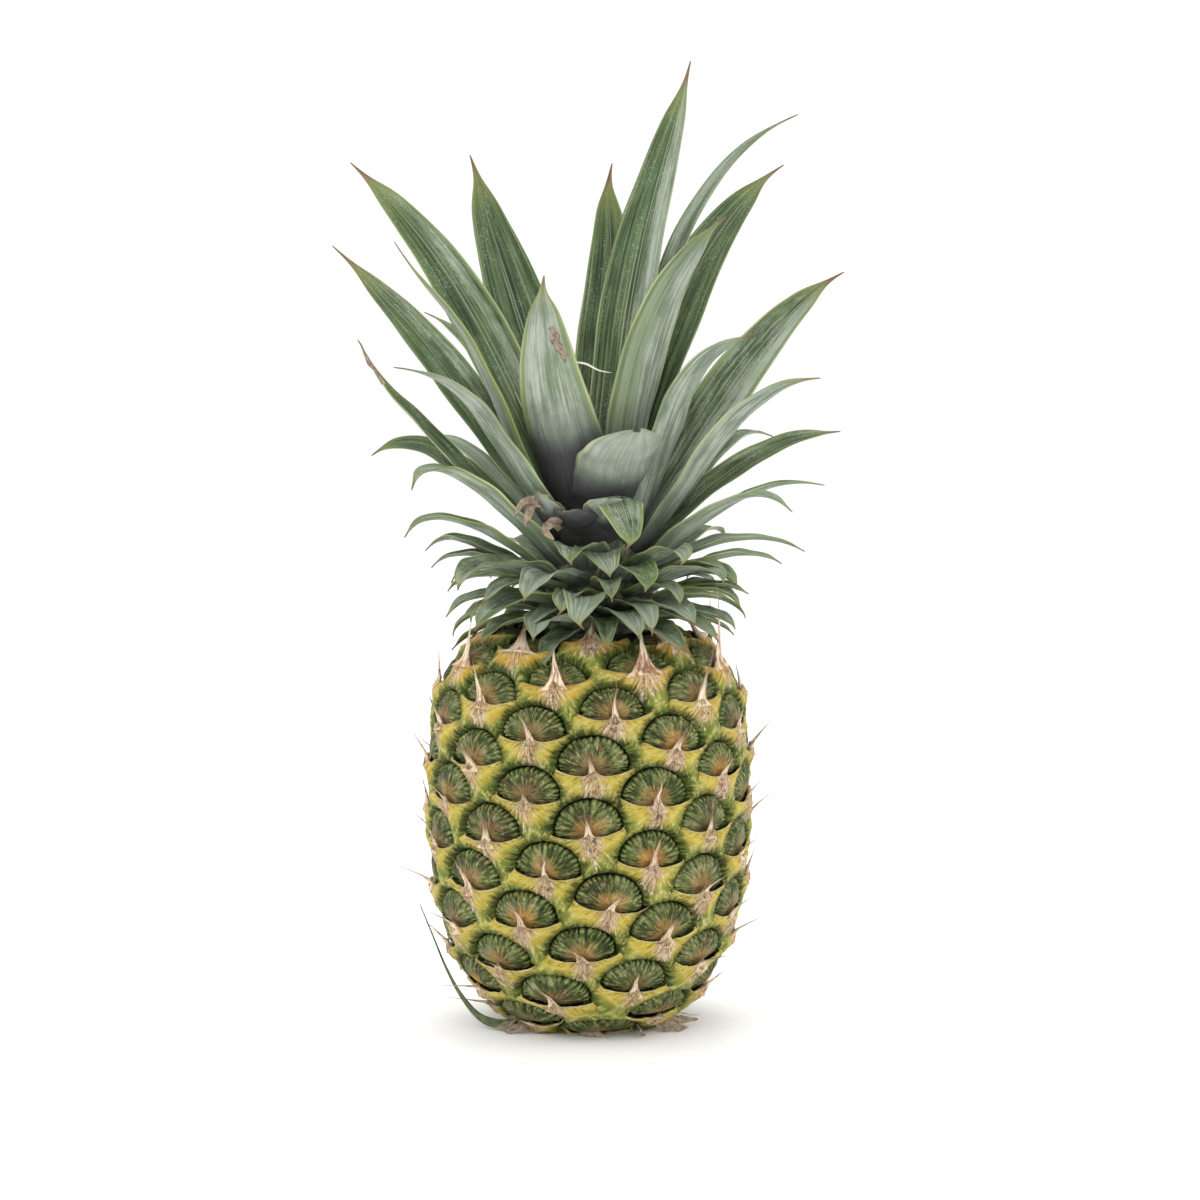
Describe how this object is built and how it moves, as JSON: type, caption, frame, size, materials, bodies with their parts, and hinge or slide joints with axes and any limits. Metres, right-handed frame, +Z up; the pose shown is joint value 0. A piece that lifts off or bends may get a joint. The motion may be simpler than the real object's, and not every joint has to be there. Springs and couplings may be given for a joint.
{
  "type": "pineapple",
  "caption": "Whole fresh pineapple standing upright on its flat cut base, with a barrel-shaped rind of spiny eyes and a crown of pointed, channelled leaves",
  "frame": {"origin": "middle of the flat cut base, on the surface that the fruit stands on", "axes": "+Z runs up the fruit to the crown, and -Y faces the viewer, with +X to the viewer's right"},
  "size_m": [0.1994, 0.1545, 0.3763],
  "materials": {
    "rind": "matt to satin fruit rind, dark green and golden yellow, with dry straw-coloured bract tips",
    "crown_stem": "matt pale green stem between the leaf bases",
    "crown_leaf": "satin leathery leaf, dark green above with a silvery scale, grey-green beneath",
    "dry_leaf": "matt, narrow, drying strap leaf"
  },
  "bodies": {
    "root": {"fruit_body": "rind", "crown_stem": "crown_stem", "crown_leaf_01": "crown_leaf", "crown_leaf_02": "crown_leaf", "crown_leaf_03": "crown_leaf", "crown_leaf_04": "crown_leaf", "crown_leaf_05": "crown_leaf", "crown_leaf_06": "crown_leaf", "crown_leaf_07": "crown_leaf", "crown_leaf_08": "crown_leaf", "crown_leaf_09": "crown_leaf", "crown_leaf_10": "crown_leaf", "crown_leaf_11": "crown_leaf", "crown_leaf_12": "crown_leaf", "crown_leaf_13": "crown_leaf", "crown_leaf_14": "crown_leaf", "crown_leaf_15": "crown_leaf", "crown_leaf_16": "crown_leaf", "crown_leaf_17": "crown_leaf", "crown_leaf_18": "crown_leaf", "crown_leaf_19": "crown_leaf", "crown_leaf_20": "crown_leaf", "crown_leaf_21": "crown_leaf", "crown_leaf_22": "crown_leaf", "crown_leaf_23": "crown_leaf", "crown_leaf_24": "crown_leaf", "crown_leaf_25": "crown_leaf", "crown_leaf_26": "crown_leaf", "crown_leaf_27": "crown_leaf", "crown_leaf_28": "crown_leaf", "crown_leaf_29": "crown_leaf", "crown_leaf_30": "crown_leaf", "crown_leaf_31": "crown_leaf", "crown_leaf_32": "crown_leaf", "crown_leaf_33": "crown_leaf", "crown_leaf_34": "crown_leaf", "crown_leaf_35": "crown_leaf", "crown_leaf_36": "crown_leaf", "crown_leaf_37": "crown_leaf", "crown_leaf_38": "crown_leaf", "crown_leaf_39": "crown_leaf", "crown_leaf_40": "crown_leaf", "crown_leaf_41": "crown_leaf", "crown_leaf_42": "crown_leaf", "crown_leaf_43": "crown_leaf", "crown_leaf_44": "crown_leaf", "crown_leaf_45": "crown_leaf", "crown_leaf_46": "crown_leaf", "crown_leaf_47": "crown_leaf", "crown_leaf_48": "crown_leaf", "crown_leaf_49": "crown_leaf", "crown_leaf_50": "crown_leaf", "crown_leaf_51": "crown_leaf", "crown_leaf_52": "crown_leaf", "crown_leaf_53": "crown_leaf", "crown_leaf_54": "crown_leaf", "crown_leaf_55": "crown_leaf", "crown_leaf_56": "crown_leaf", "crown_leaf_57": "crown_leaf", "stalk_leaf": "dry_leaf"}
  },
  "joints": []
}
